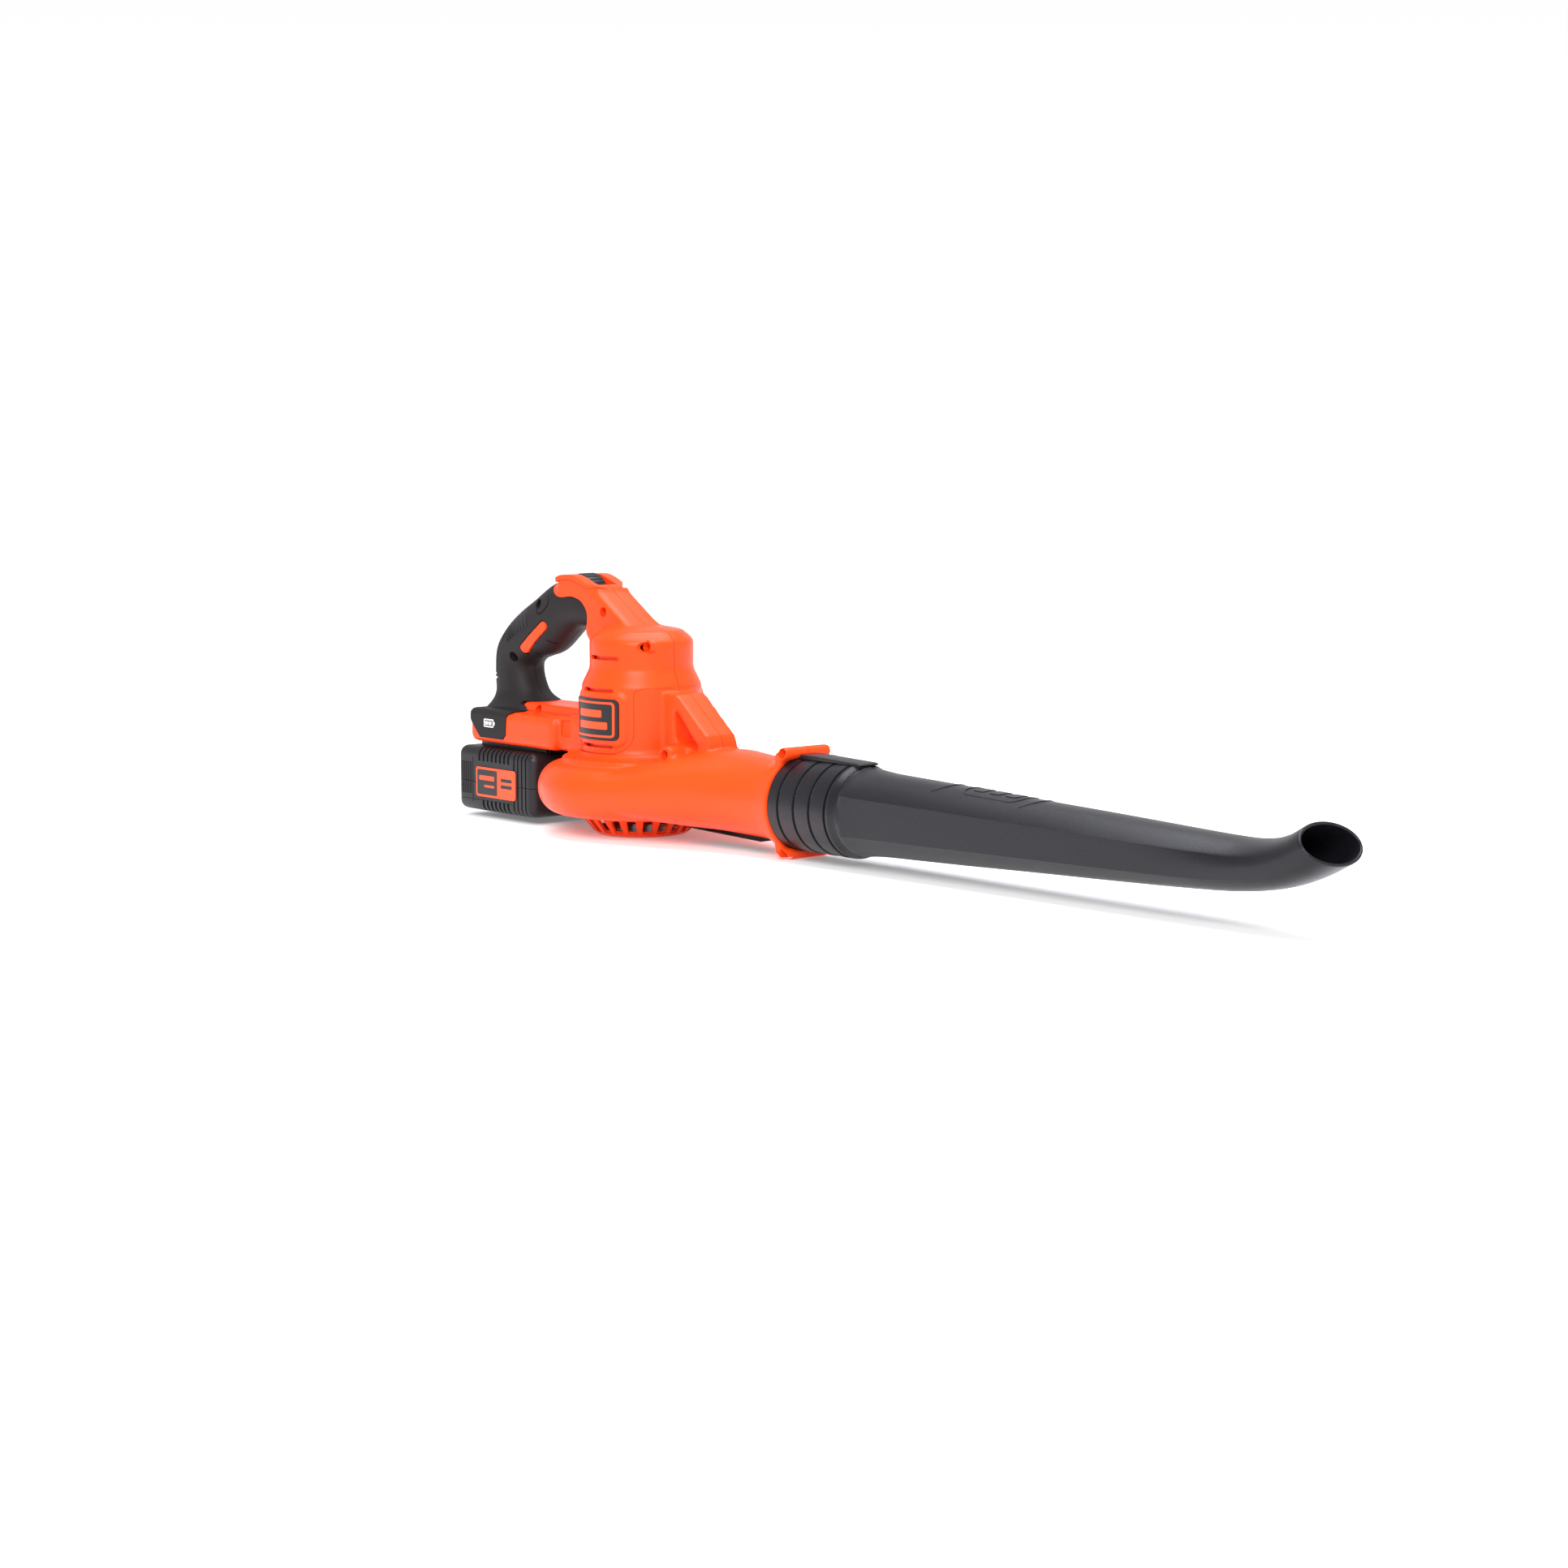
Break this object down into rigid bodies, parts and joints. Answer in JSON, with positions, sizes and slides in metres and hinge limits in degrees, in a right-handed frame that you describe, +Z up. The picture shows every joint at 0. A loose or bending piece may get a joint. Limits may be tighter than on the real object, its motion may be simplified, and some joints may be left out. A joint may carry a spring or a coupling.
{
  "type": "leaf blower",
  "caption": "Cordless hand-held leaf blower with looped handle, thumb-wheel speed dial, slide-on battery pack, radial fan and long plug-in tube with an upturned oval mouth.",
  "frame": {"origin": "on the motor axis at the bottom face of the intake grille", "axes": "+X along the blower tube towards its mouth, +Y to the left of a user holding the handle, +Z up along the motor axis"},
  "size_m": [0.8747, 0.1572, 0.1927],
  "materials": {
    "orange_plastic": "satin",
    "black_plastic": "fine mould grain",
    "grip_rubber": "soft touch",
    "label_film": "satin film",
    "bright_steel": "bright zinc",
    "dark_steel": "black oxide",
    "aluminium": "satin",
    "copper": "enamelled wire",
    "brass": "bright",
    "circuit_board": "solder mask",
    "red_wire": "soft",
    "black_wire": "soft",
    "cell_wrap": "shrink film"
  },
  "bodies": {
    "blower_body": {"housing_left": "orange_plastic", "housing_right": "orange_plastic", "grip_left": "grip_rubber", "grip_right": "grip_rubber", "badge_left": "label_film", "badge_right": "label_film", "nozzle_label": "label_film", "intake_grille": "orange_plastic", "dial_switch": "black_plastic", "motor_plate": "black_plastic", "motor_can": "dark_steel", "motor_end_bell": "black_plastic", "magnet_left": "dark_steel", "magnet_right": "dark_steel", "bearing_lower": "bright_steel", "bearing_upper": "bright_steel", "controller_board": "circuit_board", "heat_sink": "aluminium", "terminal_block": "black_plastic", "terminal_blade_negative": "brass", "terminal_blade_positive": "brass", "battery_lead_positive": "red_wire", "battery_lead_negative": "black_wire", "motor_lead_positive": "red_wire", "motor_lead_negative": "black_wire", "dial_lead": "black_wire", "screw_neck": "bright_steel", "screw_shoulder": "bright_steel", "screw_strut": "bright_steel", "screw_dock": "bright_steel", "screw_grip_upper": "bright_steel", "screw_grip_lower": "bright_steel", "screw_boss_top": "bright_steel", "screw_boss_low": "bright_steel"},
    "rotor": {"impeller": "black_plastic", "motor_shaft": "bright_steel", "armature": "copper", "impeller_nut": "bright_steel"},
    "dial": {"speed_dial": "black_plastic"},
    "tube": {"blower_tube": "black_plastic"},
    "tube_tab": {"tube_latch": "black_plastic"},
    "battery": {"battery_case_upper": "black_plastic", "battery_case_lower": "black_plastic", "battery_label_left": "label_film", "battery_label_right": "label_film", "battery_board": "circuit_board", "battery_latch_spring": "bright_steel", "cell_1": "cell_wrap", "cell_2": "cell_wrap", "cell_3": "cell_wrap", "cell_4": "cell_wrap", "cell_5": "cell_wrap", "cell_6": "cell_wrap", "cell_7": "cell_wrap", "cell_8": "cell_wrap", "cell_9": "cell_wrap", "cell_10": "cell_wrap"},
    "battery_button": {"battery_latch": "orange_plastic"}
  },
  "joints": [
    {"name": "impeller_spin", "type": "hinge", "parent": "blower_body", "child": "rotor", "pos_m": [0, 0, 0.04], "axis": [0, 0, 1], "continuous": true},
    {"name": "speed_dial_turn", "type": "hinge", "parent": "blower_body", "child": "dial", "pos_m": [-0.066, 0, 0.1758], "axis": [0, 1, 0], "range_deg": [0, 100]},
    {"name": "tube_slide", "type": "slide", "parent": "blower_body", "child": "tube", "axis": [1, 0, 0], "range_m": [0, 0.06]},
    {"name": "tube_tab_press", "type": "hinge", "parent": "tube", "child": "tube_tab", "pos_m": [0.256, 0, 0.072], "axis": [0, -1, 0], "range_deg": [0, 1.6], "stiffness_Nm_per_rad": 4, "springref_deg": -1.15},
    {"name": "battery_slide", "type": "slide", "parent": "blower_body", "child": "battery", "axis": [-1, 0, 0], "range_m": [0, 0.115]},
    {"name": "battery_button_press", "type": "slide", "parent": "battery", "child": "battery_button", "axis": [0, 0, -1], "range_m": [0, 0.0032], "stiffness_N_per_m": 800, "springref_m": -0.001, "deforming": ["battery_latch_spring"]}
  ]
}
